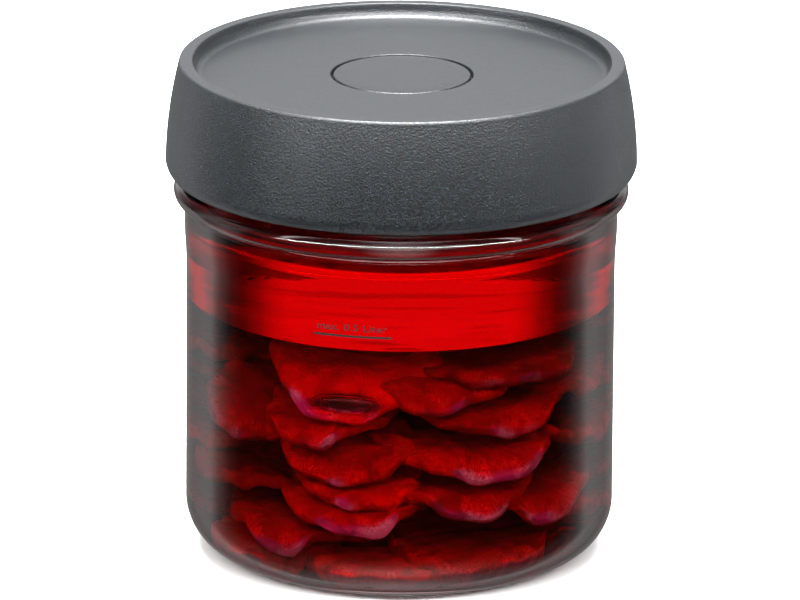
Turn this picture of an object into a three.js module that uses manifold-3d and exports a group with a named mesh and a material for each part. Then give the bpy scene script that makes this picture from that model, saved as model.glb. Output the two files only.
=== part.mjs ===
// Fermentation jar: a wide glass jar of beet slices, kept down by a thick glass weight, under a push-on lid
// with a round vent disc. Millimetres, +Z up. The origin is the middle of the foot ring, on the table,
// and the front of the jar looks along -Y.
import * as THREE from 'three';
import { mergeVertices } from 'three/addons/utils/BufferGeometryUtils.js';
import Module from 'manifold-3d';

const wasm = await Module();
wasm.setup();

// Driving dimensions of the jar's glass
const JAR_RADIUS = 53;
const WALL = 3;
const BASE_THICKNESS = 4;
const FOOT_INNER_RADIUS = 36.5;
const FOOT_OUTER_RADIUS = 40;
const PUNT_DEPTH = 1.2;
const PUNT_SLOPE = 4;
const CORNER_HEIGHT = 13;
const INNER_CORNER = { width: 10.5, height: 10 };
const FLARE = { start: 80, radius: 53.5 };
const BEAD = { middle: 92, radius: 56.2, halfWidth: 2.8, halfHeight: 2.7, from: -60, to: 75 };
const NECK_FOOT = 0.6;
const NECK_RADIUS = 51.6;
const NECK_BORE = 48.9;
const SHOULDER = { bottom: 87.6, top: 91 };
const RIM_Z = 117.8;
const RIM_ROUND = 1.1;

// Driving dimensions of the glass weight, a flat round block with eased edges
const WEIGHT = { radius: 48.2, bottom: 65, top: 84.8, round: 2.2, roundBottom: 0.6 };

// Driving dimensions of the lid
const LID_BOTTOM = 96.7;
const LID_HEIGHT = 124.8;
const SKIRT = { lowerEdge: 57.2, widest: 58.2, widestZ: 99.4, topEdge: 55.05, bevel: 0.5 };
const SKIRT_ROUND = { top: 0.9, bottom: 1.2 };
const SKIRT_INSIDE = { bottom: 54.4, top: 53.8, corner: 1.2 };
const BARREL_BULGE = 0.7;
const RIM_INNER_RADIUS = 51.4;
const RIM_INNER_SLOPE = 0.2;
const COVE = { width: 2.4, depth: 2.6 };
const RECESS_Z = 121.2;
const LID_UNDERSIDE_Z = 118.1;

// Driving dimensions of the vent disc and the pocket that it sits in
const DISC = { radius: 16.9, pocketRadius: 17.6, pocketZ: 119.4, crown: 0.15, crownShare: 0.6, edge: 0.4 };

// Driving dimensions of the heap of slices
const SLICE = { thickness: 3.6, sides: 10, rings: [0.6, 1], ripple: 0.05, lobes: 3 };
const HEAP = { radius: 49.3, bottom: 4.6, top: 64.6, cornerWidth: 10.5, cornerHeight: 10 };
const CORE = { radius: 34, bottom: 7, shoulderZ: 58, topRadius: 29, bottomBevel: 3, bevelHeight: 5 };

// The slices that show at the front: degrees round from the front, height of the rim at the glass, half the
// slice's width, length of its drooping front, the droop's bend, how many degrees its back is raised, its
// roll, and how far it is pressed against the wall
const FRONT_SLICES = [
  { turn: -18, rim: 50, half: 19, droop: 15, bend: 60, lean: 14, roll: 4, reach: 0.6 },
  { turn: -25, rim: 41.5, half: 16, droop: 9, bend: 45, lean: 12, roll: -4, reach: 0.4 },
  { turn: 14, rim: 51.3, half: 16.5, droop: 11, bend: 55, lean: 8, roll: 2, reach: 0.5 },
  { turn: 39, rim: 56, half: 20, droop: 9, bend: 50, lean: 3, roll: 0, reach: 0.6 },
  { turn: 32, rim: 43, half: 18.5, droop: 10, bend: 50, lean: 8, roll: 0, reach: 0.7 },
  { turn: 26, rim: 32.5, half: 21, droop: 12, bend: 50, lean: 10, roll: 3, reach: 0.7 },
  { turn: 20, rim: 22.5, half: 19, droop: 10, bend: 50, lean: 8, roll: 5, reach: 0.5 },
  { turn: 50, rim: 18, half: 20, droop: 9, bend: 52, lean: 8, roll: -3, reach: 0.7 },
  { turn: 28, rim: 7.5, half: 18, droop: 9, bend: 45, lean: 6, roll: 0, reach: 0.4 },
  { turn: -18, rim: 31, half: 15.5, droop: 15, bend: 50, lean: 22, roll: 4, reach: 0.5 },
  { turn: -13, rim: 26, half: 14, droop: 7, bend: 55, lean: 10, roll: 0, reach: 0.9 },
  { turn: -15, rim: 19, half: 17, droop: 9, bend: 50, lean: 10, roll: 0, reach: 0.6 },
  { turn: -38, rim: 12, half: 19, droop: 9, bend: 52, lean: 8, roll: 3, reach: 0.8 },
  { turn: -54, rim: 6, half: 16, droop: 8, bend: 40, lean: 5, roll: 0, reach: 0.8 },
  { turn: -54, rim: 38, half: 14.5, droop: 8, bend: 55, lean: 20, roll: 14, reach: 0.7 },
  { turn: -66, rim: 24, half: 15, droop: 6, bend: 45, lean: 6, roll: 0, reach: 0.3 },
  { turn: -5, rim: 6.5, half: 17, droop: 8, bend: 45, lean: 5, roll: 0, reach: 0.3 },
  { turn: 72, rim: 33, half: 14, droop: 8, bend: 50, lean: 8, roll: 0, reach: 0.4 },
  { turn: 66, rim: 47, half: 14.5, droop: 8, bend: 45, lean: 6, roll: 0, reach: 0.3 },
];

// The slices round the sides and back lie in level rings, each ring turned by the golden angle
const RINGS = { count: 7, perRing: 4, firstZ: 9, spacing: 8.2, from: 96, to: 264 };
const RING_SLICE = { half: 16.5, droop: 9, bend: 45, lean: 5, reach: 0.4 };
const GOLDEN_ANGLE = 137.5;

// How far, and how quickly from slice to slice, the slices of the rings differ
const SWING = { rim: 1.5, half: 1.5, lean: 4, roll: 5 };
const SWAY_RATE = { rim: 1.7, half: 2.9, lean: 0.9, roll: 2.1 };
const SWAY_START = 1.3;

const CLEAR_GLASS = { color: 0xf2f6f6, roughness: 0.03, metalness: 0, transparent: true, opacity: 0.35 };

const GAP = 0.3;
const SEGMENTS = 52;
const CORE_SEGMENTS = 18;

// Turns degrees into radians.
function radians(degrees) {
  return THREE.MathUtils.degToRad(degrees);
}

// Points on an ellipse round the centre (r, z), from one angle to another in degrees.
function arc(r, z, halfWidth, halfHeight, from, to, steps) {
  return Array.from({ length: steps + 1 }, (_, i) => {
    const angle = radians(from + ((to - from) * i) / steps);
    return [r + halfWidth * Math.cos(angle), z + halfHeight * Math.sin(angle)];
  });
}

// Turns a profile of [radius, height] points round the Z axis.
function turned(profile, segments = SEGMENTS) {
  const points = profile.map(([r, z]) => new THREE.Vector2(Math.max(r, 0), z));
  return new THREE.LatheGeometry(points, segments).rotateX(Math.PI / 2);
}

// Makes a named mesh with a material of its own.
function piece(name, geometry, look) {
  const mesh = new THREE.Mesh(geometry, new THREE.MeshStandardMaterial(look));
  mesh.name = name;
  return mesh;
}

// The bead: most of an ellipse, standing out below the lid all round.
function beadArc() {
  const { middle, radius, halfWidth, halfHeight, from, to } = BEAD;
  return arc(radius - halfWidth, middle, halfWidth, halfHeight, from, to, 6);
}

// The glass: foot ring round a shallow punt, rounded corner, straight wall that flares a little,
// bulging bead under the lid, and a plain neck inside the lid. The wall is hollow down to the base.
function jarProfile() {
  const innerRadius = JAR_RADIUS - WALL;
  const rimMiddle = RIM_Z - RIM_ROUND;
  return [
    [0, PUNT_DEPTH],
    [FOOT_INNER_RADIUS - PUNT_SLOPE, PUNT_DEPTH],
    [FOOT_INNER_RADIUS, 0],
    ...arc(FOOT_OUTER_RADIUS, CORNER_HEIGHT, JAR_RADIUS - FOOT_OUTER_RADIUS, CORNER_HEIGHT, -90, 0, 8),
    [JAR_RADIUS, FLARE.start],
    [FLARE.radius, BEAD.middle - BEAD.halfHeight],
    ...beadArc(),
    [NECK_RADIUS, BEAD.middle + BEAD.halfHeight + NECK_FOOT],
    ...arc(NECK_RADIUS - RIM_ROUND, rimMiddle, RIM_ROUND, RIM_ROUND, 0, 90, 2),
    ...arc(NECK_BORE + RIM_ROUND, rimMiddle, RIM_ROUND, RIM_ROUND, 90, 180, 2),
    [NECK_BORE, SHOULDER.top],
    [innerRadius, SHOULDER.bottom],
    ...arc(
      innerRadius - INNER_CORNER.width,
      BASE_THICKNESS + INNER_CORNER.height,
      INNER_CORNER.width,
      INNER_CORNER.height,
      0,
      -90,
      6,
    ),
    [0, BASE_THICKNESS],
  ];
}

// The weight: a thick disc of clear glass with rounded edges, lying on the slices.
function weightProfile() {
  const { radius, bottom, top, round, roundBottom } = WEIGHT;
  return [
    [0, bottom],
    ...arc(radius - roundBottom, bottom + roundBottom, roundBottom, roundBottom, -90, 0, 2),
    ...arc(radius - round, top - round, round, round, 0, 90, 3),
    [0, top],
  ];
}

// The skirt's outside, from its widest line up to the top edge: a straight taper plus a shallow bulge.
function barrel(steps) {
  const top = LID_HEIGHT - SKIRT_ROUND.top;
  return Array.from({ length: steps + 1 }, (_, i) => {
    const t = i / steps;
    const taper = SKIRT.widest + (SKIRT.topEdge - SKIRT.widest) * t;
    return [taper + BARREL_BULGE * 4 * t * (1 - t), SKIRT.widestZ + (top - SKIRT.widestZ) * t];
  });
}

// The lid: a cap with a barrel-shaped skirt, a narrow flat rim, a cove down to a wide shallow recess,
// and a round pocket for the vent disc in the middle of it. It is hollow underneath.
function lidProfile() {
  const top = LID_HEIGHT - SKIRT_ROUND.top;
  return [
    [SKIRT_INSIDE.bottom, LID_BOTTOM],
    [SKIRT.lowerEdge - SKIRT.bevel, LID_BOTTOM],
    [SKIRT.lowerEdge, LID_BOTTOM + SKIRT.bevel],
    [SKIRT.widest - SKIRT.bevel, SKIRT.widestZ - SKIRT_ROUND.bottom],
    ...barrel(6),
    ...arc(SKIRT.topEdge - SKIRT_ROUND.top, top, SKIRT_ROUND.top, SKIRT_ROUND.top, 30, 90, 2),
    [RIM_INNER_RADIUS + RIM_INNER_SLOPE, LID_HEIGHT],
    ...arc(RIM_INNER_RADIUS - COVE.width, RECESS_Z + COVE.depth, COVE.width, COVE.depth, 0, -90, 3),
    [DISC.pocketRadius, RECESS_Z],
    [DISC.pocketRadius, DISC.pocketZ],
    [0, DISC.pocketZ],
    [0, LID_UNDERSIDE_Z],
    [SKIRT_INSIDE.top - SKIRT_INSIDE.corner, LID_UNDERSIDE_Z],
    [SKIRT_INSIDE.top, LID_UNDERSIDE_Z - SKIRT_INSIDE.corner],
    [SKIRT_INSIDE.bottom, LID_BOTTOM],
  ];
}

// The vent disc: a thin button, level with the recess round it, with an eased edge.
function discProfile() {
  const bottom = DISC.pocketZ + GAP;
  return [
    [0, bottom],
    [DISC.radius, bottom],
    [DISC.radius, RECESS_Z - DISC.edge],
    [DISC.radius - DISC.edge, RECESS_Z],
    [DISC.radius * DISC.crownShare, RECESS_Z + DISC.crown],
    [0, RECESS_Z + DISC.crown],
  ];
}

// A waving number between -1 and 1 that differs from one slice to the next.
function sway(index, rate) {
  return Math.sin(index * rate + SWAY_START);
}

// The corners of one face of a flat slice, ring by ring and then its middle.
function faceCorners(half, index, level) {
  const { sides, rings, ripple, lobes } = SLICE;
  const corners = rings.flatMap((share) =>
    Array.from({ length: sides }, (_, i) => {
      const angle = (2 * Math.PI * i) / sides;
      const r = share * half * (1 + ripple * Math.sin(lobes * angle + index));
      return [r * Math.cos(angle), r * Math.sin(angle), level];
    }),
  );
  return [...corners, [0, 0, level]];
}

// The triangles between the corners of a slice's two faces.
function sliceTriangles() {
  const { sides, rings } = SLICE;
  const above = rings.length * sides + 1;
  const outer = (rings.length - 1) * sides;
  return Array.from({ length: sides }, (_, i) => {
    const next = (i + 1) % sides;
    const fans = [above - 1, next, i, 2 * above - 1, above + i, above + next];
    const bands = rings.slice(1).flatMap((_, k) => {
      const [a, b] = [k * sides + i, k * sides + next];
      const [c, d] = [a + sides, b + sides];
      return [a, d, c, a, b, d, above + a, above + c, above + d, above + a, above + d, above + b];
    });
    const [low, lowNext] = [outer + i, outer + next];
    const rim = [low, lowNext, above + lowNext, low, above + lowNext, above + low];
    return [...fans, ...bands, ...rim];
  }).flat();
}

// Bends the front of a slice down over a line, as a soft slice droops over the one below.
function drooped([x, y, z], half, droop, bend) {
  const radius = droop / radians(bend);
  const start = half - droop;
  const angle = (-y - start) / radius;
  if (angle <= 0) return [x, y, z];
  return [x, -start - (radius + z) * Math.sin(angle), (radius + z) * Math.cos(angle) - radius];
}

// Lays a slice with its front pressed to the glass, its back raised by its lean, turned round from the front.
function laidSlice({ turn, rim, half, droop, bend, lean, roll, reach }, index) {
  const levels = [-SLICE.thickness / 2, SLICE.thickness / 2];
  const corners = levels.flatMap((level) => faceCorners(half, index, level));
  const positions = corners.flatMap((corner) => drooped(corner, half, droop, bend));
  const geometry = new THREE.BufferGeometry();
  geometry.setAttribute('position', new THREE.Float32BufferAttribute(positions, 3));
  geometry.setIndex(sliceTriangles());
  geometry.rotateY(radians(roll)).rotateX(radians(lean));
  const { array } = geometry.attributes.position;
  const foremost = Array.from({ length: array.length / 3 }, (_, i) => [array[3 * i + 1], array[3 * i + 2]])
    .reduce((first, point) => (point[0] < first[0] ? point : first));
  return geometry
    .translate(0, -(HEAP.radius + reach) - foremost[0], rim - foremost[1])
    .rotateZ(radians(turn));
}

// The slices of the sides and back, ring by ring.
function backSlices() {
  const { count, perRing, firstZ, spacing, from, to } = RINGS;
  return Array.from({ length: count * perRing }, (_, i) => {
    const ring = Math.floor(i / perRing);
    const step = (i % perRing) + ((ring * GOLDEN_ANGLE) / 360) % 1;
    return {
      ...RING_SLICE,
      turn: from + ((to - from) * step) / perRing,
      rim: firstZ + ring * spacing + SWING.rim * sway(i, SWAY_RATE.rim),
      half: RING_SLICE.half + SWING.half * sway(i, SWAY_RATE.half),
      lean: RING_SLICE.lean + SWING.lean * sway(i, SWAY_RATE.lean),
      roll: SWING.roll * sway(i, SWAY_RATE.roll),
    };
  });
}

// A closed geometry as a solid that can be joined and cut.
function solid(geometry) {
  const bare = geometry.clone();
  bare.deleteAttribute('normal');
  bare.deleteAttribute('uv');
  const merged = mergeVertices(bare, 1e-4);
  return new wasm.Manifold(
    new wasm.Mesh({
      numProp: 3,
      vertProperties: Float32Array.from(merged.attributes.position.array),
      triVerts: Uint32Array.from(merged.index.array),
    }),
  );
}

// A solid back as a geometry.
function geometryOf(manifold) {
  const mesh = manifold.getMesh();
  const geometry = new THREE.BufferGeometry();
  geometry.setAttribute('position', new THREE.BufferAttribute(Float32Array.from(mesh.vertProperties), 3));
  geometry.setIndex(new THREE.BufferAttribute(Uint32Array.from(mesh.triVerts), 1));
  geometry.computeVertexNormals();
  return geometry;
}

// The room inside the glass that the heap fills, up to the weight.
function heapRoom() {
  const { radius, bottom, top, cornerWidth, cornerHeight } = HEAP;
  return turned([
    [0, bottom],
    ...arc(radius - cornerWidth, bottom + cornerHeight, cornerWidth, cornerHeight, -90, 0, 4),
    [radius, top],
    [0, top],
  ]);
}

// The heap: slices fused to a plain core, trimmed to the room inside the glass.
function heapGeometry() {
  const { radius, bottom, shoulderZ, topRadius, bottomBevel, bevelHeight } = CORE;
  const coreProfile = [
    [0, bottom],
    [radius - bottomBevel, bottom],
    [radius, bottom + bevelHeight],
    [radius, shoulderZ],
    [topRadius, HEAP.top],
    [0, HEAP.top],
  ];
  const core = solid(turned(coreProfile, CORE_SEGMENTS));
  const slices = [...FRONT_SLICES, ...backSlices()].map((row, index) => solid(laidSlice(row, index)));
  const fused = slices.reduce((heap, slice) => heap.add(slice), core);
  return geometryOf(fused.intersect(solid(heapRoom())));
}

const group = new THREE.Group();
group.add(
  piece('glass_jar', turned(jarProfile()), CLEAR_GLASS),
  piece('glass_weight', turned(weightProfile()), CLEAR_GLASS),
  piece('lid', turned(lidProfile()), { color: 0x4d5157, roughness: 0.42, metalness: 0.15 }),
  piece('vent_disc', turned(discProfile()), { color: 0x5a6067, roughness: 0.42, metalness: 0.1 }),
  piece('beet_slices', heapGeometry(), { color: 0x7a0018, roughness: 0.35, metalness: 0 }),
);

export default group;
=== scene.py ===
# %% [markdown]
# # A fermentation jar of beet slices
# A wide glass jar stands under a recessed grey lid. Beet slices fill it, a thick glass weight keeps
# them under, and red brine stands round everything. Nearly all of what the eye reads here is light
# that went through glass and brine, so the surfaces are built where the real ones are, and the
# renderer is left to bend, absorb and reflect the light as the real jar does.

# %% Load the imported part
import bpy
import numpy as np
from mathutils import Matrix, Vector


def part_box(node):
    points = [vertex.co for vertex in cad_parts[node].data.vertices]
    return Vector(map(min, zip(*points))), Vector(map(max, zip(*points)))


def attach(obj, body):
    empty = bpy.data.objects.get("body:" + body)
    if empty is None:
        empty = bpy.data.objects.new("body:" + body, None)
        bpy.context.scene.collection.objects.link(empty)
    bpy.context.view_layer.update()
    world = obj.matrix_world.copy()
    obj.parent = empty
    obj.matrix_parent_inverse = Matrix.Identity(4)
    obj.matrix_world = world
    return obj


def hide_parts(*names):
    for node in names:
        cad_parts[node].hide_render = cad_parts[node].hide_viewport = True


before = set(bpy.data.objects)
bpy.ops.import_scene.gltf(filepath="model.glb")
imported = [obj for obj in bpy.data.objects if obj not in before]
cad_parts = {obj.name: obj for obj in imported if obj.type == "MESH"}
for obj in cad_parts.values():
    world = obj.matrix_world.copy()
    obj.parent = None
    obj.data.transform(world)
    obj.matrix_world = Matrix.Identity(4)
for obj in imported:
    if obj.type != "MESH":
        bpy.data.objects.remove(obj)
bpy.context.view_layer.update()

MM = 0.001

# %% [markdown]
# ## The camera
# The photograph was taken from about seventeen degrees above the table with a long lens, so the jar's
# sides stay parallel. A short lens close by would give the same frame but would bow the rims. The
# picture is also turned by under half a degree, which shows in the ends of the lid's rim.

# %% Place the camera
CAMERA_DISTANCE = 3.0
CAMERA_ELEVATION = np.radians(17.13)
CAMERA_ROLL = np.radians(0.40)
FOCAL_PIXELS = 12122
FRAME_PIXELS = 800
AIM = Vector((-0.0001, 0, 0.06297))


def photo_camera():
    """A camera on a line that rises by the elevation towards -Y, turned about that line by the roll."""
    data = bpy.data.cameras.new("photo_camera")
    data.sensor_width = 36
    data.lens = FOCAL_PIXELS * data.sensor_width / FRAME_PIXELS
    back = Vector((0, -np.cos(CAMERA_ELEVATION), np.sin(CAMERA_ELEVATION)))
    level_right = Vector((1, 0, 0))
    level_up = back.cross(level_right)
    right = level_right * np.cos(CAMERA_ROLL) + level_up * np.sin(CAMERA_ROLL)
    up = back.cross(right)
    camera = bpy.data.objects.new("photo_camera", data)
    turned = Matrix((right, up, back)).transposed().to_4x4()
    camera.matrix_world = Matrix.Translation(AIM + back * CAMERA_DISTANCE) @ turned
    bpy.context.scene.collection.objects.link(camera)
    bpy.context.scene.camera = camera
    return camera


camera = photo_camera()
print("lens", round(camera.data.lens, 1), "mm at", CAMERA_DISTANCE, "m")

# %% [markdown]
# ## Turned surfaces
# Glass, weight, brine, lid and vent disc are all round, so each is one outline carried round the axis.
# A Screw modifier would do that too. Here the points are worked out as whole arrays, which makes it
# easy to keep two surfaces an exact distance apart, as glass and brine need. Each corner is a small
# arc, and each straight stretch gets a point near both of its ends, so that smooth shading bends the
# light only where the real edge is rounded.

# %% Helpers for outlines
AROUND = 256
EDGE_HOLD = 0.35


def arc(r, z, half_width, half_height, start, end, steps):
    """Points on an ellipse: (r + half width x cos(angle), z + half height x sin(angle)), from one angle
    to another in degrees."""
    angle = np.radians(np.linspace(start, end, steps + 1))
    return np.stack([r + half_width * np.cos(angle), z + half_height * np.sin(angle)], axis=1)


def filleted(corners, steps=5):
    """An outline through corners (r, z, round). A corner with a round is replaced by points on the
    parabola that starts and ends that far from it along its two sides: (1-t)^2 a + 2t(1-t) c + t^2 b."""
    corners = np.array(corners, float)
    points = [corners[:1, :2]]
    t = np.linspace(0, 1, steps + 1)[:, None]
    for before, here, after in zip(corners[:-2], corners[1:-1], corners[2:]):
        c, size = here[:2], here[2]
        to_before, to_after = before[:2] - c, after[:2] - c
        a = c + to_before / np.linalg.norm(to_before) * size
        b = c + to_after / np.linalg.norm(to_after) * size
        points.append((1 - t) ** 2 * a + 2 * t * (1 - t) * c + t**2 * b if size > 0 else c[None])
    points.append(corners[-1:, :2])
    return np.concatenate(points)


def held(outline):
    """Adds a point near both ends of every straight stretch that is long enough to need it."""
    start, end = outline[:-1], outline[1:]
    length = np.linalg.norm(end - start, axis=1)
    stretch = length > 3 * EDGE_HOLD
    along = (end - start) / np.maximum(length, 1e-9)[:, None] * EDGE_HOLD
    added = np.stack([start, start + along, end - along], axis=1)
    keep = np.stack([np.full_like(stretch, True), stretch, stretch], axis=1)
    return np.concatenate([added[keep], outline[-1:]])


def new_piece(name, points, faces, material=None):
    """A mesh object from points in millimetres and lists of corners, shaded smooth, riding on the jar."""
    mesh = bpy.data.meshes.new(name)
    mesh.from_pydata((points * MM).tolist(), [], faces)
    mesh.update()
    mesh.shade_smooth()
    piece = bpy.data.objects.new(name, mesh)
    bpy.context.scene.collection.objects.link(piece)
    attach(piece, "root")
    if material is not None:
        mesh.materials.append(material)
    return piece


def turned_surface(outline, around=AROUND, wobble=None):
    """The outline carried round the axis: point (i, j) is outline j at angle i. An end on the axis is
    one pole point, and an outline that ends where it starts closes on itself. Faces keep the outline's
    outer side out when it runs upwards on the outside."""
    outline = held(np.asarray(outline, float))
    loop = np.allclose(outline[0], outline[-1])
    ring = outline[:-1] if loop else outline[(outline[:, 0] > 1e-6)]
    turn = np.linspace(0, 2 * np.pi, around, endpoint=False)[:, None]
    count = len(ring)
    r, z = (np.broadcast_to(ring[:, k], (around, count)) for k in (0, 1))
    if wobble is not None:
        r, z = wobble(r, z, turn)
    points = np.stack([r * np.cos(turn), r * np.sin(turn), z], axis=-1).reshape(-1, 3)
    i = np.arange(around)[:, None] * count
    n = np.roll(i, -1, axis=0)
    j = np.arange(count if loop else count - 1)[None]
    a, b = i + j, n + j
    c, d = i + (j + 1) % count, n + (j + 1) % count
    faces = np.stack([a, b, d, c], axis=-1).reshape(-1, 4).tolist()
    if not loop:
        for pole, edge, order in ((0, 0, 1), (1, count - 1, -1)):
            points = np.append(points, [[0, 0, outline[-pole, 1]]], axis=0)
            first, second = (i + edge).ravel(), (n + edge).ravel()
            tip = np.full(around, len(points) - 1)
            faces += np.stack([tip, second, first][::order], axis=-1).tolist()
    return points, faces


def joined(*surfaces):
    """Several surfaces as one list of points and one of faces."""
    starts = np.cumsum([0] + [len(points) for points, _ in surfaces])
    faces = [[c + start for c in face] for (_, part), start in zip(surfaces, starts) for face in part]
    return np.concatenate([points for points, _ in surfaces]), faces


def inside_out(surface):
    """The same surface with its faces turned round, as the wall of a hollow has them."""
    points, faces = surface
    return points, [face[::-1] for face in faces]


# %% [markdown]
# ## Glass
# Clear soda glass bends light by 1.52 and hardly colours it. A Glass node alone would do for the
# picture, but a Principled shader with full transmission keeps its meaning outside Blender as well.
# Pressed glass is never quite even, so a slow, very shallow bump lets the highlights swim a little.

# The weight, poured thick, is a good deal less even than the wall.

# %% Glass finish
GLASS_TINT = (0.985, 0.995, 0.99, 1)
GLASS_BEND = 1.52
GLASS_SWIM_SCALE = 60
JAR_SWIM_DEPTH, WEIGHT_SWIM_DEPTH = 0.008, 0.12


def node_adder(tree):
    """A function that adds a node to the tree, sets its settings, and links or sets its inputs. An input
    is named with _ for a space, or by its number as _0, _1 and so on."""
    def add(kind, settings=(), **inputs):
        node = tree.nodes.new(kind)
        for key, value in dict(settings).items():
            setattr(node, key, value)
        for key, value in inputs.items():
            socket = node.inputs[int(key[1:])] if key[0] == "_" else node.inputs[key.replace("_", " ")]
            if isinstance(value, bpy.types.NodeSocket):
                tree.links.new(value, socket)
            else:
                socket.default_value = value
        return node

    return add


def new_material(name):
    """A node material, its Principled shader, and its function for adding nodes."""
    material = bpy.data.materials.new(name)
    material.use_nodes = True
    return material, material.node_tree.nodes["Principled BSDF"], node_adder(material.node_tree)


def link(material, output, socket):
    material.node_tree.links.new(output, socket)


def object_place(add, scale):
    """Object coordinates in units of one over the scale, in metres."""
    place = add("ShaderNodeTexCoord").outputs["Object"]
    return add("ShaderNodeMapping", Vector=place, Scale=(scale,) * 3).outputs[0]


def noise(add, place, scale, detail, roughness=0.5):
    """Noise between 0 and 1 at the place, in cells of one over the scale."""
    node = add("ShaderNodeTexNoise", Vector=place, Scale=scale, Detail=detail, Roughness=roughness)
    return node.outputs["Fac"]


def maths(add, operation, *values):
    """One step of arithmetic on one, two or three values."""
    inputs = {f"_{i}": value for i, value in enumerate(values)}
    return add("ShaderNodeMath", {"operation": operation}, **inputs).outputs[0]


def ramped(add, value, start, end, to_start=0.0, to_end=1.0, kind="LINEAR"):
    """The value carried from one range to another, and held at both ends."""
    ranges = {"From_Min": start, "From_Max": end, "To_Min": to_start, "To_Max": to_end}
    return add("ShaderNodeMapRange", {"interpolation_type": kind}, Value=value, **ranges).outputs[0]


def mixed(add, share, first, second):
    """A colour between two others."""
    return add("ShaderNodeMix", {"data_type": "RGBA"}, _0=share, _6=first, _7=second).outputs[2]


def bumped(material, shader, add, height, strength, depth):
    """Bends the shader's normal by a height of the given depth in millimetres."""
    bump = add("ShaderNodeBump", Height=height, Strength=strength, Distance=depth * MM)
    link(material, bump.outputs[0], shader.inputs["Normal"])


def refracting(name, colour, bend, swim_scale, swim_depth):
    """A clear shader of the given index with a slow, shallow bump."""
    material, shader, add = new_material(name)
    shader.inputs["Base Color"].default_value = colour
    shader.inputs["Transmission Weight"].default_value = 1
    shader.inputs["Roughness"].default_value = 0.0
    shader.inputs["IOR"].default_value = bend
    bumped(material, shader, add, noise(add, object_place(add, swim_scale), 1.0, 1.0), 1.0, swim_depth)
    return material, add


jar_glass, _ = refracting("jar_glass", GLASS_TINT, GLASS_BEND, GLASS_SWIM_SCALE, JAR_SWIM_DEPTH)
weight_glass, _ = refracting("weight_glass", GLASS_TINT, GLASS_BEND, GLASS_SWIM_SCALE, WEIGHT_SWIM_DEPTH)

# %% [markdown]
# ## The jar
# The glass stands on a narrow ring round a shallow hollow, turns up through a broad rounded corner,
# runs straight to a bulging bead just under the lid, and ends in a plain neck inside the lid.

# %% Jar dimensions
_, jar_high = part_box("glass_jar")
BEAD_RADIUS = jar_high.x / MM
RIM_Z = jar_high.z / MM
JAR_RADIUS = 53.0
WALL = 3.0
INNER_RADIUS = JAR_RADIUS - WALL
BASE_THICKNESS = 4.0
CORNER_WIDTH, CORNER_DEPTH = 10.5, 10.0
FOOT_INNER, FOOT_OUTER = 36.5, 40.0
PUNT_DEPTH = 1.2
CORNER_HEIGHT = 13.0
FLARE_START, FLARE_RADIUS = 80.0, 53.5
BEAD_Z, BEAD_WIDTH, BEAD_HEIGHT = 92.0, 2.8, 2.7
NECK_RADIUS, NECK_BORE = 51.6, 48.9
SHOULDER_BOTTOM, SHOULDER_TOP = 87.6, 91.0
RIM_ROUND = 1.1


def inside_line(grow=0.0):
    """The glass's inner outline from the shoulder down to the middle of the base, moved into the glass by
    the growth: straight wall, then a quarter of an ellipse, then the flat base."""
    corner_r, corner_z = INNER_RADIUS - CORNER_WIDTH, BASE_THICKNESS + CORNER_DEPTH
    return np.concatenate([
        [[NECK_BORE + grow, SHOULDER_TOP], [INNER_RADIUS + grow, SHOULDER_BOTTOM]],
        arc(corner_r, corner_z, CORNER_WIDTH + grow, CORNER_DEPTH + grow, 0, -90, 24),
        [[0, BASE_THICKNESS - grow]],
    ])


def jar_outline():
    rim_middle = RIM_Z - RIM_ROUND
    outside = filleted([
        (0, PUNT_DEPTH, 0),
        (FOOT_INNER - 4, PUNT_DEPTH, 1.5),
        (FOOT_INNER, 0, 0.5),
        (FOOT_OUTER - 0.1, 0, 0),
    ])
    corner = arc(FOOT_OUTER, CORNER_HEIGHT, JAR_RADIUS - FOOT_OUTER, CORNER_HEIGHT, -90, 0, 28)
    bead = arc(BEAD_RADIUS - BEAD_WIDTH, BEAD_Z, BEAD_WIDTH, BEAD_HEIGHT, -62, 78, 26)
    below_bead = filleted([
        (JAR_RADIUS, FLARE_START - 9, 0),
        (JAR_RADIUS, FLARE_START - 5, 3),
        (FLARE_RADIUS, FLARE_START + 2, 3),
        (FLARE_RADIUS, BEAD_Z - BEAD_HEIGHT, 0.5),
        (*bead[0], 0),
    ])
    above_bead = filleted([
        (*bead[-1], 0),
        (NECK_RADIUS, BEAD_Z + BEAD_HEIGHT + 0.6, 0.5),
        (NECK_RADIUS, rim_middle, 0),
    ])
    rim = [
        arc(NECK_RADIUS - RIM_ROUND, rim_middle, RIM_ROUND, RIM_ROUND, 0, 90, 6)[1:],
        arc(NECK_BORE + RIM_ROUND, rim_middle, RIM_ROUND, RIM_ROUND, 90, 180, 6),
    ]
    return np.concatenate([outside, corner, below_bead, bead[1:-1], above_bead, *rim, inside_line()])


jar = new_piece("jar_glass", *turned_surface(jar_outline()), jar_glass)
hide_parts("glass_jar")
print("jar", len(jar.data.polygons), "faces")

# %% [markdown]
# ## The weight
# A flat round block of clear glass, nearly as wide as the jar and twenty millimetres thick, lies on the
# slices. Light that enters its side meets the underside so flat that it can't leave through it: it is
# reflected whole, and leaves at the back. That is why the jar shows a bright red band there, and dark
# brine below it. Nothing is painted for this: a true block in true brine does it. Its lower edge is
# rounded very little, because a broader rounding would draw a dark wavy line along the band.

# %% Weight dimensions and piece
weight_low, weight_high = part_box("glass_weight")
WEIGHT_RADIUS = weight_high.x / MM
WEIGHT_BOTTOM, WEIGHT_TOP = weight_low.z / MM, weight_high.z / MM
WEIGHT_ROUND, WEIGHT_ROUND_LOW = 2.2, 0.6


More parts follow.
